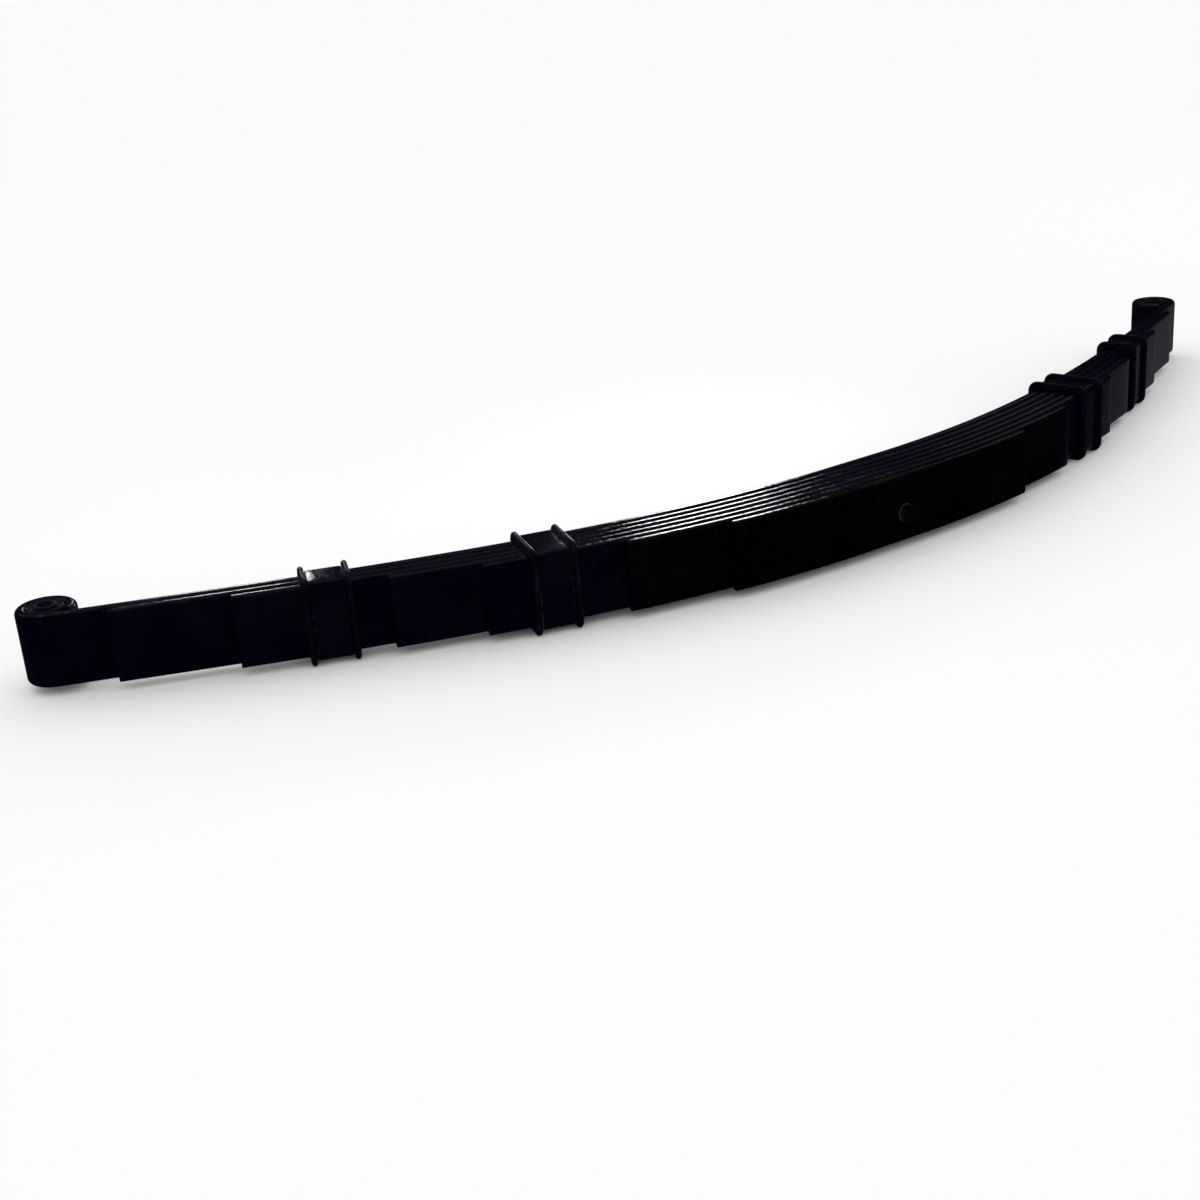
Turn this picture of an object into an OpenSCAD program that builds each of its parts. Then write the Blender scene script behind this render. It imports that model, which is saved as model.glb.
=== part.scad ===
// Multi-leaf spring with two bushed eyes, four rebound clips and a centre bolt.
// It lies on its long edge: X runs along the spring, Z across the leaves, and the
// hollow side of the bow faces +Y. The origin is on the centre bolt's axis, on the
// flat face of the shortest leaf that seats on the axle, halfway across the leaves.

/* [Leaves] */
// Width of every leaf
leaf_w = 76; // [50:1:110]
// Thickness of every leaf
leaf_t = 12; // [7:0.5:14]
// Half length of leaf 2, measured along the bow from the centre bolt
half_2 = 810; // [760:1:830]
// Half length of leaf 3
half_3 = 693; // [640:1:750]
// Half length of leaf 4
half_4 = 543; // [500:1:570]
// Half length of leaf 5
half_5 = 453; // [420:1:490]
// Half length of leaf 6
half_6 = 311; // [240:1:350]
// Half length of leaf 7, the shortest
half_7 = 203; // [120:1:230]

/* [Bow] */
// Half length of the main leaf, from the centre bolt to the root of each eye
half_1 = 870; // [840:1:1050]
// Flat length in the middle, where the stack is clamped to the axle
seat_l = 80; // [60:2:140]
// Radius of the bow just outside the flat
bow_r = 990; // [820:10:1600]
// Length of bow, from the flat's end, over which its curvature fades to nothing
fade_l = 790; // [650:10:1400]

/* [Eyes] */
// Outer radius of the rolled eyes
eye_r = 30; // [27:0.5:40]
// Metal reamed out of each rolled eye, on the radius
ream = 0.3; // [0.2:0.1:1]
// Gap between the end of the roll and the main leaf
roll_gap = 2; // [1:0.5:4]
// Wall of each bush's outer steel shell
shell_wall = 1.5; // [1:0.25:2.5]
// How far the shell and rubber stand back from the leaf's edges
bush_inset = 1; // [0.5:0.5:3]
// Bore of each bush's inner steel sleeve, for a 16 mm shackle or hanger bolt
sleeve_bore = 16.3; // [12:0.1:20]
// Wall of the inner sleeve
sleeve_wall = 3.5; // [2.5:0.25:5]
// How far the inner sleeve stands past the leaf's edges
sleeve_proud = 1.5; // [0.5:0.5:5]

/* [Clips] */
// Distance along the bow from the centre bolt to each inner clip, round five leaves
inner_clip_s = 384; // [370:1:395]
// Distance along the bow from the centre bolt to each outer clip, round three leaves
outer_clip_s = 602; // [590:1:615]
// Width of each clip's steel strap
strap_w = 36; // [24:1:40]
// Thickness of the strap
strap_t = 2; // [1.5:0.25:5]
// Width of each clip's liner, over both lips
liner_w = 50; // [46:1:60]
// Thickness of the liner under the strap
liner_t = 1.5; // [1.5:0.25:4]
// How far the liner's two lips stand out from its floor
lip_h = 7; // [3:0.5:10]
// Radius of the liner's floor where it turns round the stack's edges
wrap_r = 5.5; // [2:0.5:5.5]

/* [Centre bolt] */
// Diameter of the centre bolt's shank
bolt_d = 12; // [8:1:16]
// Diameter of its round head, which locates the spring in the axle's seat
head_d = 20; // [18:1:30]
// Height of the head
head_h = 12; // [6:1:16]
// Width of its nut across the flats
nut_af = 19; // [18:1:30]
// Height of the nut
nut_h = 10; // [6:1:14]
// How far the shank stands past the nut
bolt_tail = 4; // [1:1:10]

/* [Fits] */
// Radial clearance of the shank in the leaves
bolt_clear = 0.5; // [0.2:0.1:1]
// Radial clearance of the shank in the nut
thread_clear = 0.05; // [0.02:0.01:0.1]
// Radial running clearance between each bush's rubber and its inner sleeve
sleeve_clear = 0.05; // [0.02:0.01:0.1]
// Clearance of the clips' liners round the stack
wrap_clear = 0.3; // [0.3:0.1:0.8]
// Clearance of each strap between its liner's lips, on each side
strap_clear = 0.25; // [0.1:0.05:1]

/* [Hidden] */

PAINT = [0.03, 0.03, 0.05];
STRAP = [0.10, 0.10, 0.14];
LINER = [0.05, 0.05, 0.08];
RUBBER = [0.08, 0.08, 0.08];
STEEL = [0.45, 0.45, 0.48];

leaves = 7;
outer_clip_leaves = 3;
inner_clip_leaves = 5;
stack_h = leaves * leaf_t;
bore_r = eye_r - leaf_t + ream;
rubber_r = bore_r - shell_wall;
sleeve_r = sleeve_bore / 2 + sleeve_wall;
channel_w = strap_w + 2 * strap_clear;
round_fn = 96;
// Cuts run past the faces they break through by this much
past = 1;

// ---- The bow ----
// The main leaf's hollow face is a row of short flats. Every other face of the
// stack is that row moved out by whole leaf thicknesses, so the leaves meet
// flat to flat.

flats = 32;
flat_l = (half_1 - seat_l / 2) / flats;

// Slope of the bow, in degrees, at a length u past the end of the seat
function slope(u) =
    let (v = min(u, fade_l))
    (v - v * v / (2 * fade_l)) / bow_r * 180 / PI;

function flat_slope(i) = slope((i + 0.5) * flat_l);

// Corners between the flats, from the end of the seat to the root of the eye
bow = [
    for (
        i = 0, x = seat_l / 2, y = stack_h;
        i <= flats;
        x = x + flat_l * cos(flat_slope(i)), y = y + flat_l * sin(flat_slope(i)), i = i + 1
    ) [x, y]
];
root_slope = flat_slope(flats - 1);

// The same corner moved out to a face at depth d below the hollow face
function corner(i, d) =
    let (
        before = i == 0 ? 0 : flat_slope(i - 1),
        after = i == flats ? before : flat_slope(i),
        mean = (before + after) / 2
    )
    bow[i] + d / cos((after - before) / 2) * [sin(mean), -cos(mean)];

// The point at arc length s from the centre bolt, on the face at depth d
function on_face(s, d) =
    let (
        u = (s - seat_l / 2) / flat_l,
        i = min(floor(u), flats - 1)
    )
    corner(i, d) + (u - i) * (corner(i + 1, d) - corner(i, d));

// One half of a face, from the seat's end out to arc length s
function half_face(s, d) = concat(
    [for (i = [0 : flats]) if (i * flat_l < s - seat_l / 2 - 0.01) corner(i, d)],
    [on_face(s, d)]
);

function reversed(p) = [for (i = [len(p) - 1 : -1 : 0]) p[i]];
function mirrored(p) = [for (q = p) [-q[0], q[1]]];

// The two halves of an outline that is the same in front and behind
function both_ends(half) = concat(half, mirrored(reversed(half)));

module centre_hole() {
    rotate([-90, 0, 0])
        translate([0, 0, -past])
            cylinder(h = stack_h + 2 * past, r = bolt_d / 2 + bolt_clear, $fn = round_fn);
}

// A graduated leaf: number n of the stack, cut square at arc length s
module leaf(n, s) {
    half = concat(half_face(s, n * leaf_t), reversed(half_face(s, (n - 1) * leaf_t)));
    color(PAINT)
        difference() {
            linear_extrude(leaf_w, center = true) polygon(both_ends(half));
            centre_hole();
        }
}

// ---- The eyes ----

eye_at = bow[flats] + (eye_r - leaf_t) * [-sin(root_slope), cos(root_slope)];
roll_end = 180 + asin((eye_r - leaf_t - roll_gap) / eye_r);
roll_steps = 54;
roll_angles = [for (i = [1 : roll_steps]) -90 + i * (roll_end + 90) / roll_steps];

function on_eye(a, r) = eye_at + r * [cos(a + root_slope), sin(a + root_slope)];

module at_eye(side) {
    translate([side * eye_at[0], eye_at[1], 0]) children();
}

module ring(r_out, r_in, h) {
    difference() {
        cylinder(h = h, r = r_out, center = true, $fn = round_fn);
        cylinder(h = h + 2 * past, r = r_in, center = true, $fn = round_fn);
    }
}

module main_leaf() {
    roll = concat(
        [for (a = roll_angles) on_eye(a, eye_r)],
        [for (a = reversed(roll_angles)) on_eye(a, eye_r - leaf_t)]
    );
    half = concat(half_face(half_1, leaf_t), roll, reversed(half_face(half_1, 0)));
    color(PAINT)
        difference() {
            linear_extrude(leaf_w, center = true) polygon(both_ends(half));
            centre_hole();
            for (side = [-1, 1])
                at_eye(side)
                    cylinder(h = leaf_w + 2 * past, r = bore_r, center = true, $fn = round_fn);
        }
}

// Steel shell pressed into an eye
module shell(side) {
    color(STEEL) at_eye(side) ring(bore_r, rubber_r, leaf_w - 2 * bush_inset);
}

// Rubber ring between the shell and the sleeve
module rubber(side) {
    color(RUBBER) at_eye(side) ring(rubber_r, sleeve_r + sleeve_clear, leaf_w - 2 * bush_inset);
}

// Inner sleeve that the shackle or hanger bolt clamps
module sleeve(side) {
    color(STEEL) at_eye(side) ring(sleeve_r, sleeve_bore / 2, leaf_w + 2 * sleeve_proud);
}

// ---- The clips ----

// Places a clip's own frame on the main leaf's hollow face: X along the leaf, Y out of it
module at_clip(side, s) {
    p = on_face(s, 0);
    mirror([side < 0 ? 1 : 0, 0, 0])
        translate([p[0], p[1], 0])
            rotate([0, 0, slope(s - seat_l / 2)]) children();
}

// A rounded box section of width w round n leaves, standing off them by gap
module wrap(n, gap, r, w) {
    half_y = n * leaf_t / 2 + gap;
    half_z = leaf_w / 2 + gap;
    translate([0, -n * leaf_t / 2, 0])
        rotate([90, 0, 90])
            linear_extrude(w, center = true)
                polygon([
                    for (q = [0 : 3], a = [0 : 15 : 90])
                        let (
                            turn = q * 90 + a,
                            sy = q == 0 || q == 3 ? 1 : -1,
                            sz = q < 2 ? 1 : -1
                        )
                        [sy * (half_y - r) + r * cos(turn), sz * (half_z - r) + r * sin(turn)]
                ]);
}

// Square hole through a clip, a little larger than its n leaves
module wrap_hole(n) {
    translate([0, -n * leaf_t / 2, 0])
        cube([liner_w + 2 * past, n * leaf_t + 2 * wrap_clear, leaf_w + 2 * wrap_clear], center = true);
}

// Plastic liner: a thin floor round the leaves with a raised lip at each end
module liner(side, s, n) {
    floor_gap = wrap_clear + liner_t;
    lip_gap = floor_gap + lip_h;
    color(LINER)
        at_clip(side, s)
            difference() {
                wrap(n, lip_gap, wrap_r + lip_h, liner_w);
                difference() {
                    wrap(n, lip_gap + past, wrap_r + lip_h, channel_w);
                    wrap(n, floor_gap, wrap_r, channel_w + 2 * past);
                }
                wrap_hole(n);
            }
}

// Steel strap bent round the liner's floor, between its lips
module strap(side, s, n) {
    floor_gap = wrap_clear + liner_t;
    color(STRAP)
        at_clip(side, s)
            difference() {
                wrap(n, floor_gap + strap_t, wrap_r + strap_t, strap_w);
                wrap(n, floor_gap, wrap_r, strap_w + 2 * past);
            }
}

// ---- The centre bolt ----

// Round head on the axle side, shank up through the stack
module centre_bolt() {
    color(STEEL) {
        union() {
            rotate([90, 0, 0]) cylinder(h = head_h, d = head_d, $fn = round_fn);
            rotate([-90, 0, 0])
                translate([0, 0, -head_h / 2])
                    cylinder(h = head_h / 2 + stack_h + nut_h + bolt_tail, d = bolt_d, $fn = round_fn);
        }
    }
}

module centre_nut() {
    color(STEEL)
        translate([0, stack_h, 0])
            rotate([-90, 0, 0])
                difference() {
                    cylinder(h = nut_h, r = nut_af / 2 / cos(30), $fn = 6);
                    translate([0, 0, -past])
                        cylinder(h = nut_h + 2 * past, r = bolt_d / 2 + thread_clear, $fn = round_fn);
                }
}

main_leaf();
leaf(2, half_2);  // leaf_2
leaf(3, half_3);  // leaf_3
leaf(4, half_4);  // leaf_4
leaf(5, half_5);  // leaf_5
leaf(6, half_6);  // leaf_6
leaf(7, half_7);  // leaf_7
centre_bolt();
centre_nut();
strap(-1, outer_clip_s, outer_clip_leaves);  // front_outer_strap
liner(-1, outer_clip_s, outer_clip_leaves);  // front_outer_liner
strap(-1, inner_clip_s, inner_clip_leaves);  // front_inner_strap
liner(-1, inner_clip_s, inner_clip_leaves);  // front_inner_liner
strap(1, inner_clip_s, inner_clip_leaves);  // rear_inner_strap
liner(1, inner_clip_s, inner_clip_leaves);  // rear_inner_liner
strap(1, outer_clip_s, outer_clip_leaves);  // rear_outer_strap
liner(1, outer_clip_s, outer_clip_leaves);  // rear_outer_liner
shell(-1);  // front_shell
rubber(-1);  // front_rubber
sleeve(-1);  // front_sleeve
shell(1);  // rear_shell
rubber(1);  // rear_rubber
sleeve(1);  // rear_sleeve
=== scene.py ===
import math

import bmesh
import bpy
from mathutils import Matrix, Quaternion, Vector


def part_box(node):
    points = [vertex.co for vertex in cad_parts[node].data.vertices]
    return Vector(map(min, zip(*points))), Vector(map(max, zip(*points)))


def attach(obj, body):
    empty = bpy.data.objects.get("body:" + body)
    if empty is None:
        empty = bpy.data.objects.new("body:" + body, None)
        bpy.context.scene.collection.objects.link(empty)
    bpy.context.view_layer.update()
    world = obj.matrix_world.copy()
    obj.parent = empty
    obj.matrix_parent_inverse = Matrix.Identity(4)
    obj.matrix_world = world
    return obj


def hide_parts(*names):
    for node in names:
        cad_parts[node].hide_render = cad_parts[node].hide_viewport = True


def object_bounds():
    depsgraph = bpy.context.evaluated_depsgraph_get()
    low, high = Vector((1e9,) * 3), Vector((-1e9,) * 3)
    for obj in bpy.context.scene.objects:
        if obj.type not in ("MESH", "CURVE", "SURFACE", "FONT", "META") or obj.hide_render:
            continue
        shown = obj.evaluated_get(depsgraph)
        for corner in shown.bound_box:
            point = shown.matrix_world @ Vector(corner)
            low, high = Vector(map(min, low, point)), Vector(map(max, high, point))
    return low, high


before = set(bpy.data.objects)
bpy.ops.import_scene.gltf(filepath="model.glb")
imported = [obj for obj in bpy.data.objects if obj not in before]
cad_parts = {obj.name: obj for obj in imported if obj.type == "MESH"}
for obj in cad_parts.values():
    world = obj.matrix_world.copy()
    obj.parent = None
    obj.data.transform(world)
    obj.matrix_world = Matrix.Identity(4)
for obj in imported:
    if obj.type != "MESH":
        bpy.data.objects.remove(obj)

scene = bpy.context.scene
cad_low, cad_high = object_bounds()

# ---- The studio ----
# A plain pale floor under the spring, which lies on its long edge. Soft lamps hang above it,
# and the camera looks along it from beyond its front eye.

scene.view_settings.view_transform = "Standard"

floor_half = 30.0
floor_mesh = bpy.data.meshes.new("studio_floor")
floor_mesh.from_pydata(
    [(-floor_half, -floor_half, cad_low.z), (floor_half, -floor_half, cad_low.z),
     (floor_half, floor_half, cad_low.z), (-floor_half, floor_half, cad_low.z)],
    [],
    [(0, 1, 2, 3)],
)
studio_floor = bpy.data.objects.new("studio_floor", floor_mesh)
scene.collection.objects.link(studio_floor)
studio_floor.visible_glossy = False

floor_paper = bpy.data.materials.new("white paper floor")
floor_paper.use_nodes = True
floor_shader = floor_paper.node_tree.nodes["Principled BSDF"]
floor_shader.inputs["Base Color"].default_value = (0.96, 0.96, 0.96, 1.0)
floor_shader.inputs["Roughness"].default_value = 0.9
floor_shader.inputs["Specular IOR Level"].default_value = 0.0
floor_mesh.materials.append(floor_paper)


def soft_lamp(name, place, aim, width, height, power, beam=180.0):
    """A soft box at a place, turned to face a point, with its beam's full angle in degrees."""
    lamp_data = bpy.data.lights.new(name, "AREA")
    lamp_data.shape = "RECTANGLE"
    lamp_data.size = width
    lamp_data.size_y = height
    lamp_data.energy = power
    lamp_data.spread = math.radians(beam)
    lamp = bpy.data.objects.new(name, lamp_data)
    lamp.visible_camera = False
    lamp.location = Vector(place)
    lamp.rotation_euler = (Vector(aim) - Vector(place)).to_track_quat("-Z", "Y").to_euler()
    scene.collection.objects.link(lamp)
    return lamp


soft_lamp("middle_strip", (0.70, 1.26, 0.56), (-0.22, 0.05, 0.04), 0.26, 0.20, 0.26, beam=50.0)
soft_lamp("front_strip", (-0.14, 1.64, 0.57), (-0.67, 0.24, 0.04), 0.20, 0.12, 0.045, beam=40.0)
soft_lamp("rear_panel", (2.3, 0.9, 1.6), (0.7, 0.2, 0.0), 1.2, 0.8, 0.6)
soft_lamp("far_fill", (-1.6, 2.4, 1.8), (0.0, 0.1, 0.0), 1.6, 1.0, 1.0)

# The room: white to the eye, an even light on matt surfaces, and dim in the gloss apart
# from a glow low down beyond the rear eye and a faint one overhead
room = bpy.data.worlds.new("studio room")
room.use_nodes = True
scene.world = room
room_nodes = room.node_tree.nodes
room_links = room.node_tree.links
room_light = room_nodes["Background"]
room_rays = room_nodes.new("ShaderNodeLightPath")
room_way = room_nodes.new("ShaderNodeTexCoord")


def room_glow(toward, starts, strength):
    """Light that rises towards one side of the room, for the gloss to pick up."""
    facing = room_nodes.new("ShaderNodeVectorMath")
    facing.operation = "DOT_PRODUCT"
    facing.inputs[1].default_value = Vector(toward).normalized()
    room_links.new(room_way.outputs["Generated"], facing.inputs[0])
    rise = room_nodes.new("ShaderNodeMapRange")
    rise.interpolation_type = "SMOOTHSTEP"
    rise.inputs["From Min"].default_value = starts
    rise.inputs["To Max"].default_value = strength
    room_links.new(facing.outputs["Value"], rise.inputs["Value"])
    return rise.outputs["Result"]


def room_sum(operation, first, second):
    """One step of arithmetic on the room's light."""
    total = room_nodes.new("ShaderNodeMath")
    total.operation = operation
    for place, term in ((0, first), (1, second)):
        if isinstance(term, (int, float)):
            total.inputs[place].default_value = term
        else:
            room_links.new(term, total.inputs[place])
    return total.outputs[0]


low_glow = room_glow((0.95, 0.28, -0.20), 0.87, 0.095)
over_glow = room_glow((0.1, 0.2, 1.0), 0.70, 0.16)
back_glow = room_glow((-0.3, 1.0, 0.3), 0.2, 0.012)
gloss_room = room_sum("ADD", room_sum("ADD", low_glow, over_glow), room_sum("ADD", back_glow, 0.002))
matt_or_seen = room_sum("SUBTRACT", 1.0, room_rays.outputs["Is Glossy Ray"])
room_links.new(
    room_sum("ADD", matt_or_seen, room_sum("MULTIPLY", gloss_room, room_rays.outputs["Is Glossy Ray"])),
    room_light.inputs["Strength"],
)
room_tint = room_nodes.new("ShaderNodeMix")
room_tint.data_type = "RGBA"
room_tint.inputs[6].default_value = (1.0, 1.0, 1.0, 1.0)
room_tint.inputs[7].default_value = (0.90, 0.96, 1.0, 1.0)
room_links.new(room_rays.outputs["Is Glossy Ray"], room_tint.inputs[0])
room_links.new(room_tint.outputs[2], room_light.inputs["Color"])

camera_place = Vector((-1.2581, -1.3010, 0.6224))
camera_aim = Vector((-0.2552, 0.2109, -0.0900))
camera_roll = math.radians(-4.55)
camera_data = bpy.data.cameras.new("studio_camera")
camera_data.sensor_width = 36.0
camera_data.lens = 52.33
camera = bpy.data.objects.new("studio_camera", camera_data)
camera.rotation_mode = "QUATERNION"
camera.location = camera_place
camera.rotation_quaternion = (
    (camera_aim - camera_place).to_track_quat("-Z", "Y") @ Quaternion((0, 0, 1), camera_roll)
)
scene.collection.objects.link(camera)
scene.camera = camera

# ---- Main leaf ----
# The longest of seven flat bars of spring steel, bent to the bow and rolled into an eye at
# each end. It is hot rolled with rounded edges, and dipped in gloss black paint.

leaf_width = 0.076
leaf_thick = 0.012
leaf_round = 0.0050
paint_gap = 0.00004
stack_high = 7 * leaf_thick
seat_long = 0.080
bow_radius = 0.990
bow_fade = 0.790
eye_root = 0.870
eye_outer = 0.030
eye_turn = math.radians(212.2 + 90.0)


def add_node(tree, kind, feed=None, **settings):
    """A node with its settings, its inputs filled from values or joined to other nodes' outputs."""
    made = tree.nodes.new(kind)
    for setting, value in settings.items():
        setattr(made, setting, value)
    for slot, value in (feed or {}).items():
        if isinstance(value, bpy.types.NodeSocket):
            tree.links.new(value, made.inputs[slot])
        else:
            made.inputs[slot].default_value = value
    return made


def figure(tree, operation, *terms):
    """One step of arithmetic in a node tree."""
    kind = "ShaderNodeMath"
    made = add_node(tree, kind, dict(enumerate(terms)), operation=operation)
    return made.outputs[0]


def named_sockets(tree, way, kind, names):
    for name in names:
        tree.interface.new_socket(name=name, in_out=way, socket_type=kind)


# The slope of the bow at an arc length from the centre bolt: flat on the seat, tightest just
# outside it, fading to straight, and then turning on round the eye
slope_rule = bpy.data.node_groups.new("slope of the bow", "GeometryNodeTree")
named_sockets(slope_rule, "INPUT", "NodeSocketFloat",
              ("Arc Length", "Seat Length", "Bow Radius", "Fade Length", "Roll Start", "Roll Radius"))
named_sockets(slope_rule, "OUTPUT", "NodeSocketFloat", ("Slope",))
given = add_node(slope_rule, "NodeGroupInput").outputs
along = figure(slope_rule, "ABSOLUTE", given["Arc Length"])
half_seat = figure(slope_rule, "MULTIPLY", given["Seat Length"], 0.5)
past_seat = figure(slope_rule, "MAXIMUM", figure(slope_rule, "SUBTRACT", along, half_seat), 0.0)
bent_part = figure(slope_rule, "MINIMUM", past_seat, given["Fade Length"])
bent_square = figure(slope_rule, "MULTIPLY", bent_part, bent_part)
faded = figure(slope_rule, "DIVIDE", bent_square, figure(slope_rule, "MULTIPLY", given["Fade Length"], 2.0))
bowed = figure(slope_rule, "DIVIDE", figure(slope_rule, "SUBTRACT", bent_part, faded), given["Bow Radius"])
past_root = figure(slope_rule, "MAXIMUM", figure(slope_rule, "SUBTRACT", along, given["Roll Start"]), 0.0)
rolled = figure(slope_rule, "DIVIDE", past_root, given["Roll Radius"])
one_side = figure(slope_rule, "ADD", bowed, rolled)
signed = figure(slope_rule, "MULTIPLY", one_side, figure(slope_rule, "SIGN", given["Arc Length"]))
add_node(slope_rule, "NodeGroupOutput", {"Slope": signed})

# A leaf: the row of slopes summed into a path, moved out to the leaf's own depth in the
# stack, with a flat bar of rounded section drawn along it
leaf_tree = bpy.data.node_groups.new("leaf bent to the bow", "GeometryNodeTree")
leaf_tree.is_modifier = True
named_sockets(leaf_tree, "OUTPUT", "NodeSocketGeometry", ("Geometry",))
named_sockets(leaf_tree, "INPUT", "NodeSocketInt", ("Points",))
named_sockets(leaf_tree, "INPUT", "NodeSocketFloat",
              ("Half Length", "Depth", "Thickness", "Width", "Edge Radius", "Stack Height",
               "Seat Length", "Bow Radius", "Fade Length", "Roll Start", "Roll Radius"))
named_sockets(leaf_tree, "INPUT", "NodeSocketMaterial", ("Paint",))
given = add_node(leaf_tree, "NodeGroupInput").outputs
line = add_node(leaf_tree, "GeometryNodeMeshLine", {"Count": given["Points"]})
gaps = figure(leaf_tree, "SUBTRACT", given["Points"], 1.0)
step = figure(leaf_tree, "DIVIDE", figure(leaf_tree, "MULTIPLY", given["Half Length"], 2.0), gaps)
point = add_node(leaf_tree, "GeometryNodeInputIndex").outputs["Index"]
arc_here = figure(leaf_tree, "SUBTRACT", figure(leaf_tree, "MULTIPLY", point, step), given["Half Length"])
arc_next = figure(leaf_tree, "ADD", arc_here, figure(leaf_tree, "MULTIPLY", step, 0.5))


def slope_at(arc):
    """The bow's slope at an arc length, by the rule above."""
    made = leaf_tree.nodes.new("GeometryNodeGroup")
    made.node_tree = slope_rule
    leaf_tree.links.new(arc, made.inputs["Arc Length"])
    for name in ("Seat Length", "Bow Radius", "Fade Length", "Roll Start", "Roll Radius"):
        leaf_tree.links.new(given[name], made.inputs[name])
    return made.outputs["Slope"]


slope_here = slope_at(arc_here)
slope_next = slope_at(arc_next)
stride = add_node(leaf_tree, "ShaderNodeCombineXYZ", {
    "X": figure(leaf_tree, "MULTIPLY", step, figure(leaf_tree, "COSINE", slope_next)),
    "Y": figure(leaf_tree, "MULTIPLY", step, figure(leaf_tree, "SINE", slope_next)),
})
summed = add_node(leaf_tree, "GeometryNodeAccumulateField", data_type="FLOAT_VECTOR")
leaf_tree.links.new(stride.outputs[0], summed.inputs["Value"])
middle = add_node(leaf_tree, "GeometryNodeSampleIndex", {
    "Geometry": line.outputs["Mesh"],
    "Value": summed.outputs["Trailing"],
    "Index": figure(leaf_tree, "MULTIPLY", gaps, 0.5),
}, data_type="FLOAT_VECTOR")
from_middle = add_node(leaf_tree, "ShaderNodeVectorMath", {0: summed.outputs["Trailing"],
                       1: middle.outputs["Value"]}, operation="SUBTRACT")
lift = add_node(leaf_tree, "ShaderNodeCombineXYZ", {
    "X": figure(leaf_tree, "MULTIPLY", given["Depth"], figure(leaf_tree, "SINE", slope_here)),
    "Y": figure(leaf_tree, "SUBTRACT", given["Stack Height"],
                figure(leaf_tree, "MULTIPLY", given["Depth"], figure(leaf_tree, "COSINE", slope_here))),
})
laid = add_node(leaf_tree, "ShaderNodeVectorMath", {0: from_middle.outputs[0], 1: lift.outputs[0]},
                operation="ADD")
bent_line = add_node(leaf_tree, "GeometryNodeSetPosition", {"Geometry": line.outputs["Mesh"],
                     "Position": laid.outputs[0]})
bent_curve = add_node(leaf_tree, "GeometryNodeMeshToCurve", {"Mesh": bent_line.outputs["Geometry"]})
marked = add_node(leaf_tree, "GeometryNodeStoreNamedAttribute", {
    "Geometry": bent_curve.outputs["Curve"], "Name": "along", "Value": arc_here,
}, data_type="FLOAT", domain="POINT")
upright = add_node(leaf_tree, "GeometryNodeSetCurveNormal", {"Curve": marked.outputs["Geometry"]},
                   mode="Z_UP")
bar = add_node(leaf_tree, "GeometryNodeCurvePrimitiveQuadrilateral", {"Width": given["Thickness"],
               "Height": given["Width"]}, mode="RECTANGLE")
rounded = add_node(leaf_tree, "GeometryNodeFilletCurve", {"Curve": bar.outputs["Curve"],
                   "Radius": given["Edge Radius"], "Count": 7}, mode="POLY")
drawn = add_node(leaf_tree, "GeometryNodeCurveToMesh", {"Curve": upright.outputs["Curve"],
                 "Profile Curve": rounded.outputs["Curve"], "Fill Caps": True})
smooth = add_node(leaf_tree, "GeometryNodeSetShadeSmooth", {"Geometry": drawn.outputs["Mesh"]})
whole = add_node(leaf_tree, "GeometryNodeRealizeInstances", {"Geometry": smooth.outputs["Geometry"]})
painted = add_node(leaf_tree, "GeometryNodeSetMaterial", {"Geometry": whole.outputs["Geometry"],
                   "Material": given["Paint"]})
add_node(leaf_tree, "NodeGroupOutput", {"Geometry": painted.outputs["Geometry"]})


def grown(name, tree, sizes, seed=None):
    """A plain mesh object grown by a node tree from its named sizes."""
    piece = bpy.data.objects.new(name, seed or bpy.data.meshes.new(name))
    scene.collection.objects.link(piece)
    maker = piece.modifiers.new("maker", "NODES")
    maker.node_group = tree
    for socket in tree.interface.items_tree:
        if socket.item_type == "SOCKET" and socket.in_out == "INPUT" and socket.name in sizes:
            maker[socket.identifier] = sizes[socket.name]
    shape = bpy.data.meshes.new_from_object(piece.evaluated_get(bpy.context.evaluated_depsgraph_get()))
    piece.modifiers.clear()
    piece.data = shape
    shape.name = name
    return piece


sharp_over = math.radians(38.0)


def eased(piece, size, sharper_than=55.0):
    """Breaks the sharp edges of a mesh by a small round, and turns its faces outwards."""
    work = bmesh.new()
    work.from_mesh(piece.data)
    bmesh.ops.remove_doubles(work, verts=work.verts, dist=1e-6)
    bmesh.ops.recalc_face_normals(work, faces=work.faces)
    sharp = [e for e in work.edges if len(e.link_faces) == 2
             and e.calc_face_angle() > math.radians(sharper_than)]
    if size and sharp:
        bmesh.ops.bevel(work, geom=sharp, offset=size, segments=3, profile=0.6, affect="EDGES",
                        clamp_overlap=True)
    work.to_mesh(piece.data)
    work.free()
    piece.data.shade_smooth()
    piece.data.set_sharp_from_angle(angle=sharp_over)


# Paint over rolled steel, for leaves, straps and shells: a fine orange peel, long drags from
# dipping and draining, pits of mill scale under the coat, dull patches and stray dust
paint_skin = bpy.data.node_groups.new("paint over rolled steel", "ShaderNodeTree")
named_sockets(paint_skin, "INPUT", "NodeSocketVector", ("Place",))
named_sockets(paint_skin, "INPUT", "NodeSocketColor", ("Deep Color", "Dull Color"))
named_sockets(paint_skin, "INPUT", "NodeSocketFloat", ("Glossiest", "Dullest", "Dust"))
named_sockets(paint_skin, "OUTPUT", "NodeSocketColor", ("Color",))
named_sockets(paint_skin, "OUTPUT", "NodeSocketFloat", ("Roughness", "Height"))
given = add_node(paint_skin, "NodeGroupInput").outputs
peel = add_node(paint_skin, "ShaderNodeTexNoise", {"Vector": given["Place"], "Scale": 430.0,
                "Detail": 2.0, "Roughness": 0.45})
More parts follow.
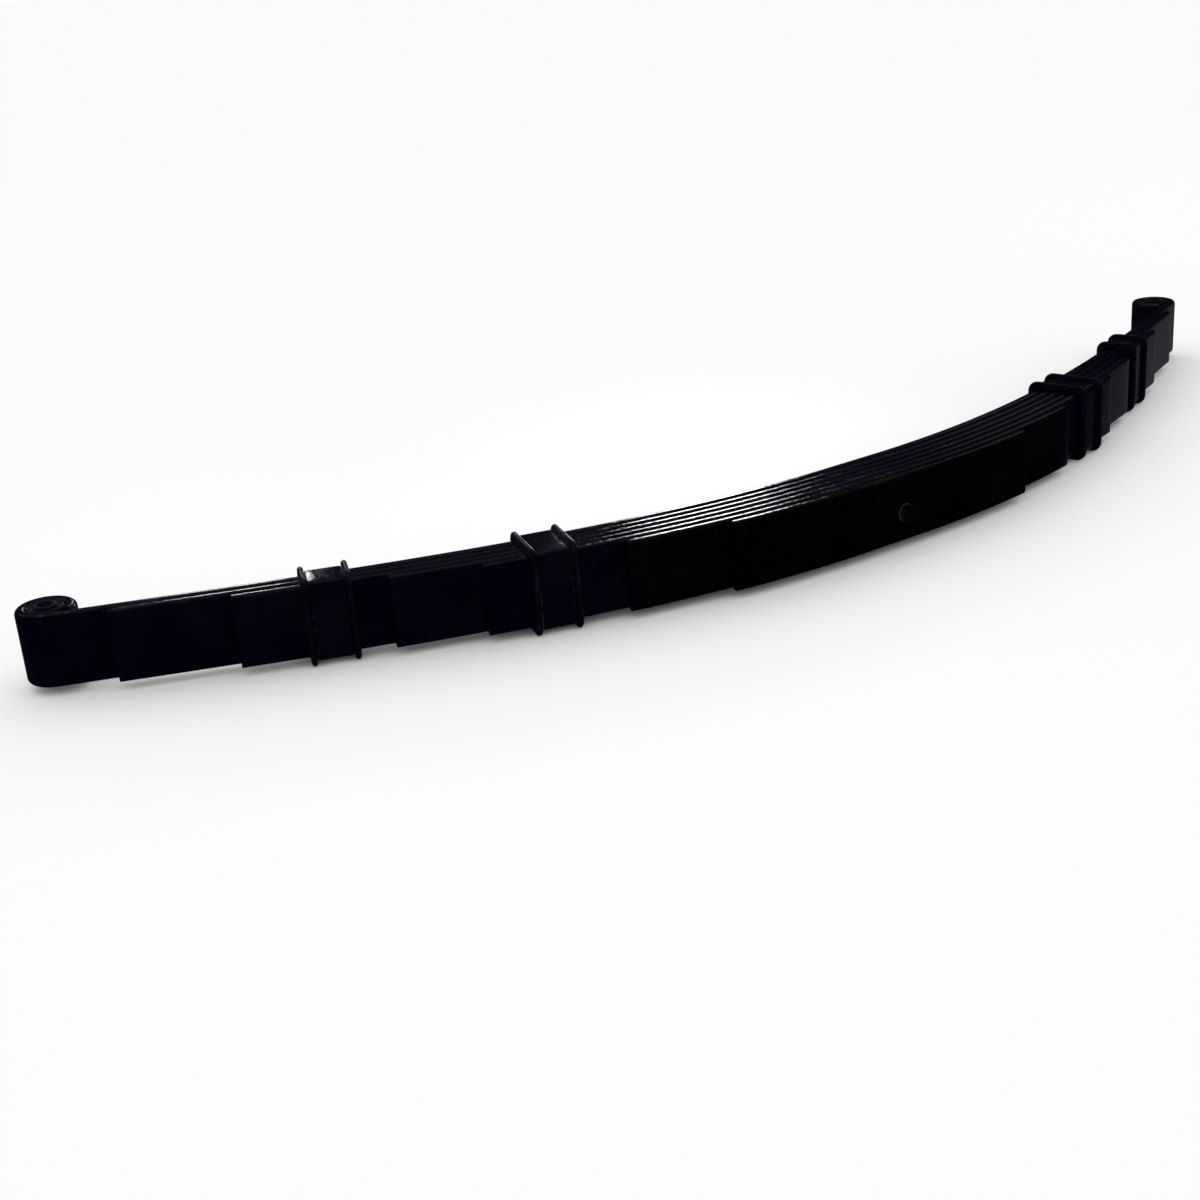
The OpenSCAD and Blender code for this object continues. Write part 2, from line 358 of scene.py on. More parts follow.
long_way = add_node(paint_skin, "ShaderNodeMapping", {"Vector": given["Place"], "Scale": (7.0, 70.0, 70.0)})
drags = add_node(paint_skin, "ShaderNodeTexNoise", {"Vector": long_way.outputs[0], "Scale": 1.0,
                 "Detail": 5.0, "Roughness": 0.6})
pits = add_node(paint_skin, "ShaderNodeTexVoronoi", {"Vector": given["Place"], "Scale": 310.0})
pit_depth = add_node(paint_skin, "ShaderNodeMapRange", {"Value": pits.outputs["Distance"],
                     "From Min": 0.0, "From Max": 0.28, "To Min": 1.0, "To Max": 0.0})
pit_patch = add_node(paint_skin, "ShaderNodeTexNoise", {"Vector": given["Place"], "Scale": 26.0,
                     "Detail": 3.0})
pit_where = add_node(paint_skin, "ShaderNodeMapRange", {"Value": pit_patch.outputs["Fac"],
                     "From Min": 0.50, "From Max": 0.66})
pitted = figure(paint_skin, "MULTIPLY", pit_depth.outputs["Result"], pit_where.outputs["Result"])
patches = add_node(paint_skin, "ShaderNodeTexNoise", {"Vector": given["Place"], "Scale": 11.0,
                   "Detail": 6.0, "Roughness": 0.62, "Distortion": 0.4})
patch_mask = add_node(paint_skin, "ShaderNodeMapRange", {"Value": patches.outputs["Fac"],
                      "From Min": 0.42, "From Max": 0.70})
streaky = figure(paint_skin, "MULTIPLY", patch_mask.outputs["Result"],
                 figure(paint_skin, "ADD", drags.outputs["Fac"], 0.25))
specks = add_node(paint_skin, "ShaderNodeTexVoronoi", {"Vector": given["Place"], "Scale": 520.0})
speck_core = add_node(paint_skin, "ShaderNodeMapRange", {"Value": specks.outputs["Distance"],
                      "From Min": 0.10, "From Max": 0.30, "To Min": 1.0, "To Max": 0.0})
speck_pick = add_node(paint_skin, "ShaderNodeSeparateColor", {"Color": specks.outputs["Color"]})
speck_few = figure(paint_skin, "GREATER_THAN", speck_pick.outputs[0], 0.985)
speck_shown = figure(paint_skin, "MULTIPLY", speck_core.outputs["Result"], speck_few)
dusty = figure(paint_skin, "MULTIPLY", speck_shown, given["Dust"])
tone = add_node(paint_skin, "ShaderNodeMix", {0: streaky, 6: given["Deep Color"], 7: given["Dull Color"]},
                data_type="RGBA")
dusted = add_node(paint_skin, "ShaderNodeMix", {0: dusty, 6: tone.outputs[2], 7: (0.10, 0.11, 0.14, 1.0)},
                  data_type="RGBA")
sheen = add_node(paint_skin, "ShaderNodeMapRange", {"Value": streaky, "From Max": 0.8,
                 "To Min": given["Glossiest"], "To Max": given["Dullest"]})
ripple = add_node(paint_skin, "ShaderNodeTexNoise", {"Vector": given["Place"], "Scale": 165.0,
                  "Detail": 3.0, "Roughness": 0.55})
relief = figure(paint_skin, "ADD", figure(paint_skin, "MULTIPLY", peel.outputs["Fac"], 0.5),
                figure(paint_skin, "MULTIPLY", drags.outputs["Fac"], 0.8))
relief = figure(paint_skin, "ADD", relief, figure(paint_skin, "MULTIPLY", ripple.outputs["Fac"], 2.2))
relief = figure(paint_skin, "SUBTRACT", relief, figure(paint_skin, "MULTIPLY", pitted, 0.9))
add_node(paint_skin, "NodeGroupOutput", {"Color": dusted.outputs[2], "Roughness": sheen.outputs["Result"],
         "Height": relief})

# Rubbed edges: small broken patches along an edge where the coat has worn to steel
worn_edge = bpy.data.node_groups.new("rubbed edges", "ShaderNodeTree")
named_sockets(worn_edge, "INPUT", "NodeSocketVector", ("Place",))
named_sockets(worn_edge, "INPUT", "NodeSocketFloat", ("Edge", "Amount"))
named_sockets(worn_edge, "OUTPUT", "NodeSocketFloat", ("Bare",))
given = add_node(worn_edge, "NodeGroupInput").outputs
chips = add_node(worn_edge, "ShaderNodeTexNoise", {"Vector": given["Place"], "Scale": 190.0,
                 "Detail": 5.0, "Roughness": 0.7})
runs = add_node(worn_edge, "ShaderNodeTexNoise", {"Vector": given["Place"], "Scale": 9.0, "Detail": 2.0})
worn = figure(worn_edge, "MULTIPLY", figure(worn_edge, "MULTIPLY", given["Edge"], given["Amount"]),
              figure(worn_edge, "MULTIPLY", chips.outputs["Fac"], runs.outputs["Fac"]))
bare = add_node(worn_edge, "ShaderNodeMapRange", {"Value": worn, "From Min": 0.30, "From Max": 0.42})
add_node(worn_edge, "NodeGroupOutput", {"Bare": bare.outputs["Result"]})


def put_group(tree, group, feed):
    """A node group in a material, its inputs filled or joined by name."""
    made = tree.nodes.new("ShaderNodeGroup")
    made.node_tree = group
    for name, value in feed.items():
        if isinstance(value, bpy.types.NodeSocket):
            tree.links.new(value, made.inputs[name])
        else:
            made.inputs[name].default_value = value
    return made.outputs


def painted_steel(name, place_shift, deep, dull, glossiest, dullest, edge_from, wear, unrolled=False):
    """Gloss paint on steel. edge_from gives the mask of the edges that are handled and rubbed, and
    an unrolled piece has its pattern laid out along its length."""
    material = bpy.data.materials.new(name)
    material.use_nodes = True
    tree = material.node_tree
    shader = tree.nodes["Principled BSDF"]
    spot = add_node(tree, "ShaderNodeTexCoord").outputs["Object"]
    parts = add_node(tree, "ShaderNodeSeparateXYZ", {0: spot})
    if unrolled:
        run = add_node(tree, "ShaderNodeAttribute", attribute_name="along").outputs["Fac"]
        spot = add_node(tree, "ShaderNodeCombineXYZ", {"X": run, "Y": parts.outputs["Y"],
                        "Z": parts.outputs["Z"]}).outputs[0]
    shifted = add_node(tree, "ShaderNodeMapping", {"Vector": spot, "Location": place_shift})
    skin = put_group(tree, paint_skin, {"Place": shifted.outputs[0], "Deep Color": deep, "Dull Color": dull,
                     "Glossiest": glossiest, "Dullest": dullest, "Dust": 0.35})
    bare = put_group(tree, worn_edge, {"Place": shifted.outputs[0], "Edge": edge_from(tree, parts),
                     "Amount": wear})["Bare"]
    color = add_node(tree, "ShaderNodeMix", {0: bare, 6: skin["Color"], 7: (0.115, 0.12, 0.135, 1.0)},
                     data_type="RGBA")
    tree.links.new(color.outputs[2], shader.inputs["Base Color"])
    rough = add_node(tree, "ShaderNodeMapRange", {"Value": bare, "To Min": skin["Roughness"], "To Max": 0.42})
    tree.links.new(rough.outputs["Result"], shader.inputs["Roughness"])
    tree.links.new(figure(tree, "MULTIPLY", bare, 0.8), shader.inputs["Metallic"])
    shader.inputs["Specular IOR Level"].default_value = 0.36
    shader.inputs["Coat Weight"].default_value = 0.2
    shader.inputs["Coat Roughness"].default_value = 0.12
    bump = add_node(tree, "ShaderNodeBump", {"Height": skin["Height"], "Strength": 0.45, "Distance": 0.0004})
    tree.links.new(bump.outputs["Normal"], shader.inputs["Normal"])
    return material


def leaf_edges(tree, parts):
    """The rounded long edges of a leaf, by how far they are from its middle."""
    out = figure(tree, "ABSOLUTE", parts.outputs["Z"])
    mask = add_node(tree, "ShaderNodeMapRange", {"Value": out, "From Min": leaf_width / 2 - leaf_round,
                    "From Max": leaf_width / 2 - 0.0006})
    return mask.outputs["Result"]


def leaf_paint(number):
    """The two shortest leaves, in the middle of the stack, get a darker and less blue paint than the navy
    black of the rest: painted shade.
    """
    # painted shade: leaves 6 and 7 get less blue and darker paint than the rest
    shaded_blue = 0.0040 if number < 6 else 0.0012
    return painted_steel(f"gloss black leaf paint {number}", (0.37 * number, 0.11 * number, 0.0),
                         (0.0001, 0.0002, shaded_blue, 1.0), (0.0005, 0.0006, 1.5 * shaded_blue, 1.0),
                         0.12, 0.28, leaf_edges, 0.8, unrolled=True)


def bent_leaf(name, number, half, points, roll_start=9.0):
    """A leaf by its number in the stack, counted from the hollow side. A graduated leaf's end comes
    long before its roll would start."""
    piece = grown(name, leaf_tree, {
        "Points": points,
        "Half Length": half,
        "Depth": (number - 0.5) * leaf_thick,
        "Thickness": leaf_thick - paint_gap,
        "Width": leaf_width,
        "Edge Radius": leaf_round,
        "Stack Height": stack_high,
        "Seat Length": seat_long,
        "Bow Radius": bow_radius,
        "Fade Length": bow_fade,
        "Roll Start": roll_start,
        "Roll Radius": eye_outer - leaf_thick,
        "Paint": leaf_paint(number),
    })
    eased(piece, 0.0007)
    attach(piece, "spring_pack")
    return piece


main_half = eye_root + (eye_outer - leaf_thick) * eye_turn
main_points = 881
main_leaf = bent_leaf("main_leaf_painted", 1, main_half, main_points, eye_root)
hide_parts("main_leaf")

# ---- Graduated leaves ----
# Six shorter bars of the same steel, one on another on the main leaf's outer side, each
# sheared square to its own length and painted with the rest.

graduated_half = {2: 0.810, 3: 0.693, 4: 0.543, 5: 0.453, 6: 0.311, 7: 0.203}
point_gap = 0.010
for number, half in graduated_half.items():
    leaf = bent_leaf(f"leaf_{number}_painted", number, half, 2 * int(half / point_gap) + 1)
    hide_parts(f"leaf_{number}")

# ---- Clip liners ----
# A moulded black plastic channel round the stack under each strap, which keeps the steel
# from rubbing. Its two lips stand up as round beads and hold the strap in place.

clip_places = {"inner": (0.384, 5), "outer": (0.602, 3)}
wrap_clear = 0.0003
wrap_corner = 0.0036
liner_width = 0.050
liner_floor = 0.0015
lip_height = 0.007
channel_half = 0.01825
lip_round = 0.0029

wrap_tree = bpy.data.node_groups.new("section wrapped round the stack", "GeometryNodeTree")
wrap_tree.is_modifier = True
named_sockets(wrap_tree, "OUTPUT", "NodeSocketGeometry", ("Geometry",))
named_sockets(wrap_tree, "INPUT", "NodeSocketGeometry", ("Section",))
named_sockets(wrap_tree, "INPUT", "NodeSocketFloat", ("Across Stack", "Across Leaf", "Corner Radius"))
named_sockets(wrap_tree, "INPUT", "NodeSocketVector", ("Place", "Turn"))
named_sockets(wrap_tree, "INPUT", "NodeSocketMaterial", ("Finish",))
given = add_node(wrap_tree, "NodeGroupInput").outputs
loop = add_node(wrap_tree, "GeometryNodeCurvePrimitiveQuadrilateral", {"Width": given["Across Stack"],
                "Height": given["Across Leaf"]}, mode="RECTANGLE")
fine_loop = add_node(wrap_tree, "GeometryNodeFilletCurve", {"Curve": loop.outputs["Curve"],
                     "Radius": given["Corner Radius"], "Count": 12}, mode="POLY")
round_loop = add_node(wrap_tree, "GeometryNodeSetCurveNormal", {"Curve": fine_loop.outputs["Curve"]},
                      mode="Z_UP")
outline = add_node(wrap_tree, "GeometryNodeMeshToCurve", {"Mesh": given["Section"]})
band = add_node(wrap_tree, "GeometryNodeCurveToMesh", {"Curve": round_loop.outputs["Curve"],
                "Profile Curve": outline.outputs["Curve"], "Fill Caps": False})
placed = add_node(wrap_tree, "GeometryNodeTransform", {"Geometry": band.outputs["Mesh"],
                  "Translation": given["Place"], "Rotation": given["Turn"]})
smooth = add_node(wrap_tree, "GeometryNodeSetShadeSmooth", {"Geometry": placed.outputs["Geometry"]})
whole = add_node(wrap_tree, "GeometryNodeRealizeInstances", {"Geometry": smooth.outputs["Geometry"]})
finished = add_node(wrap_tree, "GeometryNodeSetMaterial", {"Geometry": whole.outputs["Geometry"],
                    "Material": given["Finish"]})
add_node(wrap_tree, "NodeGroupOutput", {"Geometry": finished.outputs["Geometry"]})


def bow_slope(past_seat):
    """The slope of the bow at an arc length past the flat seat."""
    return (past_seat - past_seat * past_seat / (2 * bow_fade)) / bow_radius


def bow_point(arc):
    """The hollow face of the main leaf at an arc length from the centre bolt: its place and slope."""
    steps = 400
    reach = arc - seat_long / 2
    x, y = seat_long / 2, stack_high
    for i in range(steps):
        slope = bow_slope((i + 0.5) * reach / steps)
        x += reach / steps * math.cos(slope)
        y += reach / steps * math.sin(slope)
    return x, y, bow_slope(reach)


def section_mesh(name, outline):
    """A closed outline of (stand-off from the path, place across the band, how far up its rim)."""
    shape = bpy.data.meshes.new(name)
    count = len(outline)
    shape.from_pydata([(out, across, 0.0) for out, across, rim in outline],
                      [(i, (i + 1) % count) for i in range(count)], [])
    rims = shape.attributes.new("rim", "FLOAT", "POINT")
    for i, (out, across, rim) in enumerate(outline):
        rims.data[i].value = rim
    return shape


def wrapped(name, side, clip, outline, finish):
    """A band round one clip's leaves; side is -1 at the front and 1 at the rear."""
    arc, leaves = clip_places[clip]
    x, y, slope = bow_point(arc)
    half_stack = leaves * leaf_thick / 2
    x = side * (x + half_stack * math.sin(slope))
    y = y - half_stack * math.cos(slope)
    piece = grown(name, wrap_tree, {
        "Across Stack": 2 * (half_stack + wrap_clear),
        "Across Leaf": leaf_width + 2 * wrap_clear,
        "Corner Radius": wrap_corner,
        "Place": (x, y, 0.0),
        "Turn": (math.pi / 2, 0.0, math.pi / 2 + side * slope),
        "Finish": finish,
    }, section_mesh(name, outline))
    eased(piece, 0.0)
    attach(piece, "spring_pack")
    return piece


def arc_points(out, across, radius, first, last, count, rim=0.0, lift=0.0):
    """Points round part of a circle in a section, from one angle to another in degrees."""
    points = []
    for i in range(count + 1):
        angle = math.radians(first + (last - first) * i / count)
        points.append((out + radius * math.sin(angle), across + radius * math.cos(angle),
                       rim + lift * max(math.sin(angle), 0.0)))
    return points


def liner_outline():
    """A floor under the strap and a round bead at each edge."""
    top = liner_floor + lip_height - lip_round
    outer = liner_width / 2
    middle = outer - lip_round - 0.0004
    inner_foot = 0.0009
    right = [(0.0003, outer, 0.0), (liner_floor, outer, 0.1)]
    right += arc_points(top, middle, lip_round, 0, 180, 14, 0.5, 0.5)
    right += [(liner_floor + 0.0026, channel_half + 0.0003, 0.3)]
    right += [(liner_floor + inner_foot * 0.35, channel_half, 0.1), (liner_floor, channel_half - 0.0002, 0.0)]
    left = [(out, -across, rim) for out, across, rim in reversed(right)]
    return [(0.0, outer - 0.0003, 0.0)] + right + left + [(0.0, 0.0003 - outer, 0.0)]


def rim_mask(tree, parts):
    """How far up its rim a point of a wrapped band is; the place on the piece isn't needed."""
    return add_node(tree, "ShaderNodeAttribute", attribute_name="rim").outputs["Fac"]


liner_plastic = bpy.data.materials.new("moulded black plastic")
liner_plastic.use_nodes = True
tree = liner_plastic.node_tree
shader = tree.nodes["Principled BSDF"]
spot = add_node(tree, "ShaderNodeTexCoord").outputs["Object"]
grain = add_node(tree, "ShaderNodeTexNoise", {"Vector": spot, "Scale": 900.0, "Detail": 3.0})
cloud = add_node(tree, "ShaderNodeTexNoise", {"Vector": spot, "Scale": 55.0, "Detail": 5.0, "Roughness": 0.6})
scuff_way = add_node(tree, "ShaderNodeMapping", {"Vector": spot, "Scale": (260.0, 260.0, 40.0),
                     "Rotation": (0.3, 0.2, 0.1)})
scuffs = add_node(tree, "ShaderNodeTexNoise", {"Vector": scuff_way.outputs[0], "Scale": 1.0, "Detail": 4.0})
scuff_mask = add_node(tree, "ShaderNodeMapRange", {"Value": scuffs.outputs["Fac"], "From Min": 0.56,
                      "From Max": 0.70})
rim = rim_mask(tree, None)
pale = figure(tree, "MULTIPLY", scuff_mask.outputs["Result"], figure(tree, "ADD", rim, 0.15))
tone = add_node(tree, "ShaderNodeMix", {0: cloud.outputs["Fac"], 6: (0.0003, 0.0004, 0.0026, 1.0),
                7: (0.0011, 0.0014, 0.0060, 1.0)}, data_type="RGBA")
rubbed = add_node(tree, "ShaderNodeMix", {0: figure(tree, "MULTIPLY", pale, 0.6), 6: tone.outputs[2],
                  7: (0.009, 0.010, 0.026, 1.0)}, data_type="RGBA")
tree.links.new(rubbed.outputs[2], shader.inputs["Base Color"])
liner_rough = add_node(tree, "ShaderNodeMapRange", {"Value": cloud.outputs["Fac"], "To Min": 0.22,
                       "To Max": 0.38})
tree.links.new(liner_rough.outputs["Result"], shader.inputs["Roughness"])
shader.inputs["Specular IOR Level"].default_value = 0.26
bump = add_node(tree, "ShaderNodeBump", {"Height": figure(tree, "ADD", grain.outputs["Fac"],
                cloud.outputs["Fac"]), "Strength": 0.25, "Distance": 0.0003})
tree.links.new(bump.outputs["Normal"], shader.inputs["Normal"])

for end, side in (("front", -1), ("rear", 1)):
    for clip in clip_places:
        liner = wrapped(f"{end}_{clip}_liner_moulded", side, clip, liner_outline(), liner_plastic)
        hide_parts(f"{end}_{clip}_liner")

# ---- Clip straps ----
# A flat steel strap bent tight round each liner, between its lips, with its long edges rolled
# soft and the same gloss paint as the leaves. It stops the leaves opening on rebound.

strap_half = 0.018
strap_thick = 0.002


def strap_outline():
    """A flat strip, hardly crowned, with soft long edges."""
    ease = 0.0009
    foot = liner_floor
    head = liner_floor + strap_thick
    right = arc_points(foot + ease, strap_half - ease, ease, -80, 80, 8, 1.0)
    crown = [(head + 0.00012, strap_half * f, 0.0) for f in (0.82, 0.45, 0.0, -0.45, -0.82)]
    left = [(out, -across, rim) for out, across, rim in reversed(right)]
    base = [(foot + 0.00002, strap_half * f, 0.0) for f in (-0.9, 0.9)]
    return right + crown + left + base


strap_paint = painted_steel("gloss black strap paint", (0.2, 0.4, 0.1), (0.0004, 0.0006, 0.0040, 1.0),
                            (0.0012, 0.0016, 0.0075, 1.0), 0.12, 0.26, rim_mask, 1.1)
for end, side in (("front", -1), ("rear", 1)):
    for clip in clip_places:
        strap = wrapped(f"{end}_{clip}_strap_bent", side, clip, strap_outline(), strap_paint)
        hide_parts(f"{end}_{clip}_strap")

# ---- Eye bushes ----
# Each eye has a rubber bush pressed in: a thin steel shell, a rubber ring moulded with two
# raised ribs on each face, and a steel sleeve that the hanger or shackle bolt clamps.

front_eye = (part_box("front_sleeve")[0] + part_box("front_sleeve")[1]) / 2
rear_eye = (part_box("rear_sleeve")[0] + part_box("rear_sleeve")[1]) / 2
shell_outer = 0.0183
shell_inner = 0.0168
sleeve_outer = 0.01165
sleeve_inner = 0.00815
bush_half = 0.037
sleeve_half = 0.0395


def turned(name, outline, centre, material, around=96, axis="Z"):
    """A closed outline of (radius, height) turned round an axis through a point."""
    work = bmesh.new()
    rings = []
    for i in range(around):
        angle = 2 * math.pi * i / around
        ring = []
        for radius, height in outline:
            flat_x, flat_y = radius * math.cos(angle), radius * math.sin(angle)
            point = Vector((flat_x, flat_y, height)) if axis == "Z" else Vector((flat_x, height, -flat_y))
            ring.append(work.verts.new(Vector(centre) + point))
        rings.append(ring)
    for i in range(around):
        here, beyond = rings[i], rings[(i + 1) % around]
        for k in range(len(outline)):
            j = (k + 1) % len(outline)
            on_axis = [outline[k][0] < 1e-7, outline[j][0] < 1e-7]
            if all(on_axis):
                continue
            corners = [here[k], beyond[k], beyond[j], here[j]]
            if on_axis[0]:
                corners.remove(beyond[k])
            if on_axis[1]:
                corners.remove(beyond[j])
            work.faces.new(corners)
    bmesh.ops.remove_doubles(work, verts=work.verts, dist=1e-7)
    bmesh.ops.recalc_face_normals(work, faces=work.faces)
    shape = bpy.data.meshes.new(name)
    work.to_mesh(shape)
    work.free()
    shape.materials.append(material)
    shape.shade_smooth()
    shape.set_sharp_from_angle(angle=sharp_over)
    piece = bpy.data.objects.new(name, shape)
    scene.collection.objects.link(piece)
    return piece


def both_faces(half_outline):
    """Adds the mirror image of an outline's upper half below it."""
    return half_outline + [(radius, -height) for radius, height in reversed(half_outline)]


def shell_outline():
    ease = 0.0003
    return both_faces([(shell_outer, bush_half - ease), (shell_outer - ease, bush_half),
                       (shell_inner + ease, bush_half), (shell_inner, bush_half - ease)])


def rubber_outline():
    """Upper face from the shell in to the sleeve: a step down, two ribs and a worn lip."""
    rib_high = 0.00085
    lip_wear = 0.0009
    ribs = [(shell_inner, bush_half - 0.0012)]
    steps = 44
    for i in range(steps + 1):
        across = i / steps
        radius = shell_inner - 0.0001 - (shell_inner - sleeve_outer - 0.0002) * across
        rib = rib_high * max(0.0, math.sin(2.5 * math.pi * across)) ** 0.8
        ribs.append((radius, bush_half - 0.0007 + rib - lip_wear * across ** 6))
    return both_faces(ribs)


def sleeve_outline():
    ease = 0.0005
    return both_faces([(sleeve_outer, sleeve_half - ease), (sleeve_outer - ease, sleeve_half),
                       (sleeve_inner + ease, sleeve_half), (sleeve_inner, sleeve_half - ease)])


def radius_from(tree, centre):
    """A material's place on the piece, and its distance from an eye's axis."""
    spot = add_node(tree, "ShaderNodeTexCoord").outputs["Object"]
    offset = add_node(tree, "ShaderNodeVectorMath", {0: spot, 1: Vector(centre)}, operation="SUBTRACT")
    flat = add_node(tree, "ShaderNodeVectorMath", {0: offset.outputs[0], 1: (1.0, 1.0, 0.0)},
                    operation="MULTIPLY")
    radius = add_node(tree, "ShaderNodeVectorMath", {0: flat.outputs[0]}, operation="LENGTH")
    return spot, radius.outputs["Value"]


def bush_rubber(name, centre):
    """Moulded rubber with patches of waxy bloom, paler and duller, and fine moulded rings."""
    material = bpy.data.materials.new(name)
    material.use_nodes = True
    tree = material.node_tree
    shader = tree.nodes["Principled BSDF"]
    spot, radius = radius_from(tree, centre)
    bloom = add_node(tree, "ShaderNodeTexNoise", {"Vector": spot, "Scale": 140.0, "Detail": 5.0})
    tone = add_node(tree, "ShaderNodeMix", {0: bloom.outputs["Fac"], 6: (0.0004, 0.0005, 0.0026, 1.0),
                    7: (0.0030, 0.0034, 0.0085, 1.0)}, data_type="RGBA")
    tree.links.new(tone.outputs[2], shader.inputs["Base Color"])
    rough = add_node(tree, "ShaderNodeMapRange", {"Value": bloom.outputs["Fac"], "From Min": 0.35,
                     "From Max": 0.65, "To Min": 0.30, "To Max": 0.62})
    tree.links.new(rough.outputs["Result"], shader.inputs["Roughness"])
    mould_rings = 9000.0
    rings = figure(tree, "SINE", figure(tree, "MULTIPLY", radius, mould_rings))
    pores = add_node(tree, "ShaderNodeTexNoise", {"Vector": spot, "Scale": 1300.0, "Detail": 2.0})
    height = figure(tree, "ADD", figure(tree, "MULTIPLY", rings, 0.25), pores.outputs["Fac"])
    bump = add_node(tree, "ShaderNodeBump", {"Height": height, "Strength": 0.3, "Distance": 0.0003})
    tree.links.new(bump.outputs["Normal"], shader.inputs["Normal"])
    shader.inputs["Specular IOR Level"].default_value = 0.3
    return material


def turned_steel(name, centre, tone_deep, tone_pale):
    """Steel tube with tool rings on its ends, oil-dark and stained."""
    material = bpy.data.materials.new(name)
    material.use_nodes = True
    tree = material.node_tree
    shader = tree.nodes["Principled BSDF"]
    spot, radius = radius_from(tree, centre)
    stain = add_node(tree, "ShaderNodeTexNoise", {"Vector": spot, "Scale": 120.0, "Detail": 6.0,
                     "Roughness": 0.65})
    tone = add_node(tree, "ShaderNodeMix", {0: stain.outputs["Fac"], 6: tone_deep, 7: tone_pale},
                    data_type="RGBA")
    tree.links.new(tone.outputs[2], shader.inputs["Base Color"])
    rough = add_node(tree, "ShaderNodeMapRange", {"Value": stain.outputs["Fac"], "From Min": 0.3,
                     "From Max": 0.7, "To Min": 0.26, "To Max": 0.55})
    tree.links.new(rough.outputs["Result"], shader.inputs["Roughness"])
    shader.inputs["Metallic"].default_value = 0.75
    tool_rings = 14000.0
    rings = figure(tree, "SINE", figure(tree, "MULTIPLY", radius, tool_rings))
    height = figure(tree, "ADD", figure(tree, "MULTIPLY", rings, 0.35), stain.outputs["Fac"])
    bump = add_node(tree, "ShaderNodeBump", {"Height": height, "Strength": 0.35, "Distance": 0.0002})
    tree.links.new(bump.outputs["Normal"], shader.inputs["Normal"])
    return material


for end, eye in (("front", front_eye), ("rear", rear_eye)):
    shell_finish = turned_steel(f"{end} shell steel", eye,
                                (0.0020, 0.0024, 0.008, 1.0), (0.010, 0.011, 0.026, 1.0))
    shell = turned(f"{end}_shell_tube", shell_outline(), eye, shell_finish)
    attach(shell, "spring_pack")
    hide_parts(f"{end}_shell")
    rubber = turned(f"{end}_rubber_ring", rubber_outline(), eye, bush_rubber(f"{end} bush rubber", eye))
    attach(rubber, "spring_pack")
    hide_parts(f"{end}_rubber")
    sleeve_finish = turned_steel(f"{end} sleeve steel", eye,
                                 (0.0040, 0.0045, 0.012, 1.0), (0.028, 0.030, 0.052, 1.0))
    sleeve = turned(f"{end}_sleeve_tube", sleeve_outline(), eye, sleeve_finish)
    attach(sleeve, f"{end}_sleeve")
    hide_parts(f"{end}_sleeve")

# ---- Centre bolt ----
# One bolt holds the leaves together in the middle. Its round head stands on the outer side
# and locates the spring on the axle; the nut is on the hollow side. Both are painted over.

bolt_radius = 0.006
head_radius = 0.010
head_high = 0.012
nut_flats = 0.019
nut_high = 0.010
tail_long = 0.004
thread_pitch = 0.00175


def bolt_edges(tree, parts):
    """The rim round the head's outer face, by distance from the axis and from the seat."""
    across = add_node(tree, "ShaderNodeCombineXYZ", {"X": parts.outputs["X"], "Y": parts.outputs["Z"]})
    radius = add_node(tree, "ShaderNodeVectorMath", {0: across.outputs[0]}, operation="LENGTH")
    round_rim = add_node(tree, "ShaderNodeMapRange", {"Value": radius.outputs["Value"],
                         "From Min": head_radius - 0.0014, "From Max": head_radius - 0.0003})
    high = add_node(tree, "ShaderNodeMapRange", {"Value": parts.outputs["Y"], "From Min": -head_high + 0.0006,
                    "From Max": -head_high + 0.0020, "To Min": 1.0, "To Max": 0.0})
    return figure(tree, "MULTIPLY", round_rim.outputs["Result"], high.outputs["Result"])


bolt_paint = painted_steel("gloss black bolt paint", (0.7, 0.3, 0.2), (0.0003, 0.0004, 0.0016, 1.0),
                           (0.0012, 0.0014, 0.0034, 1.0), 0.22, 0.42, bolt_edges, 1.3)
shank_top = stack_high + nut_high + tail_long
head_round = 0.0012
round_steps = 6
head_ease = [(head_radius - head_round + head_round * math.sin(a * math.pi / 2 / round_steps),
              -head_high + head_round - head_round * math.cos(a * math.pi / 2 / round_steps))
             for a in range(round_steps + 1)]
bolt_outline = [(0.0, -head_high + 0.0005), (0.0045, -head_high + 0.0005), (0.0055, -head_high)]
bolt_outline += head_ease
bolt_outline += [(head_radius, -0.0006), (head_radius - 0.0004, 0.0), (bolt_radius, 0.0),
                 (bolt_radius - 0.0006, 0.0008), (bolt_radius - 0.0006, shank_top - 0.0010),
                 (bolt_radius - 0.0018, shank_top), (0.0, shank_top)]
centre_bolt = turned("centre_bolt_forged", bolt_outline, (0, 0, 0), bolt_paint, axis="Y")
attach(centre_bolt, "spring_pack")
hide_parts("centre_bolt")

# The thread on the bolt's tail: a ridge wound up the shank past the nut
thread_tree = bpy.data.node_groups.new("thread wound on a shank", "GeometryNodeTree")
thread_tree.is_modifier = True
named_sockets(thread_tree, "OUTPUT", "NodeSocketGeometry", ("Geometry",))
named_sockets(thread_tree, "INPUT", "NodeSocketFloat", ("Radius", "Length", "Turns", "Ridge"))
named_sockets(thread_tree, "INPUT", "NodeSocketVector", ("Place", "Turn"))
named_sockets(thread_tree, "INPUT", "NodeSocketMaterial", ("Finish",))
given = add_node(thread_tree, "NodeGroupInput").outputs
winding = add_node(thread_tree, "GeometryNodeCurveSpiral", {"Resolution": 40, "Rotations": given["Turns"],
                   "Start Radius": given["Radius"], "End Radius": given["Radius"],
                   "Height": given["Length"]})
ridge = add_node(thread_tree, "GeometryNodeCurvePrimitiveCircle", {"Resolution": 4, "Radius": given["Ridge"]})
wound = add_node(thread_tree, "GeometryNodeCurveToMesh", {"Curve": winding.outputs["Curve"],
                 "Profile Curve": ridge.outputs["Curve"], "Fill Caps": True})
